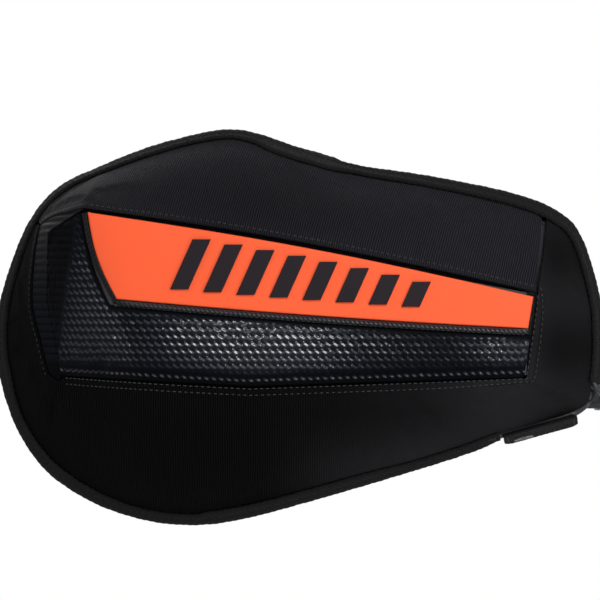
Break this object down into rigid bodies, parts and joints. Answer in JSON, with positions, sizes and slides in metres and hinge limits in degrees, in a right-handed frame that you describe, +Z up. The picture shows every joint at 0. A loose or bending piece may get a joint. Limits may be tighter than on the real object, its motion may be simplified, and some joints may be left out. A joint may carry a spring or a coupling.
{
  "type": "motorcycle hand guard",
  "caption": "Soft sewn hand guard in ribbed fabric with a padded embossed band, an orange moulded plate, a bound wire rim and a split handlebar clamp.",
  "frame": {"origin": "centre of the handlebar clamp bore", "axes": "+X along the bar towards the middle of the handlebar, -Y towards the front of the motorcycle, +Z up; the guard is for the rider's right hand"},
  "size_m": [0.3482, 0.1314, 0.2164],
  "materials": {
    "ribbed_fabric": "matte, fine ribs",
    "ribbed_fabric_low": "matte, fine ribs",
    "embossed_vinyl": "glossy, woven-look emboss",
    "orange_rubber": "smooth satin",
    "relief_rubber": "satin",
    "rolled_vinyl": "semi-gloss",
    "padding": "matte",
    "lining": "matte knit",
    "binding_tape": "matte tape",
    "wire_coat": "satin black",
    "tab_fabric": "matte",
    "snap_metal": "nickel satin",
    "clamp_metal": "black anodised",
    "screw_steel": "satin",
    "bushing_rubber": "matte"
  },
  "bodies": {
    "root": {"upper_panel": "ribbed_fabric", "lower_panel": "ribbed_fabric_low", "embossed_panel": "embossed_vinyl", "accent_panel": "orange_rubber", "accent_bars": "relief_rubber", "accent_lip": "rolled_vinyl", "band_foam": "padding", "inner_lining": "lining", "edge_binding": "binding_tape", "frame_wire": "wire_coat", "closure_tab": "tab_fabric", "tab_base": "tab_fabric", "snap_cap": "snap_metal", "snap_socket": "snap_metal", "snap_stud": "snap_metal", "snap_post": "snap_metal", "bar_clamp_body": "clamp_metal", "bar_clamp_cap": "clamp_metal", "clamp_screw_upper": "screw_steel", "clamp_screw_lower": "screw_steel", "washer_upper": "screw_steel", "washer_lower": "screw_steel", "leg_clamp_plate": "clamp_metal", "leg_screw_front": "screw_steel", "leg_screw_rear": "screw_steel", "leg_bushing_inner": "bushing_rubber", "leg_bushing_outer": "bushing_rubber"}
  },
  "joints": []
}
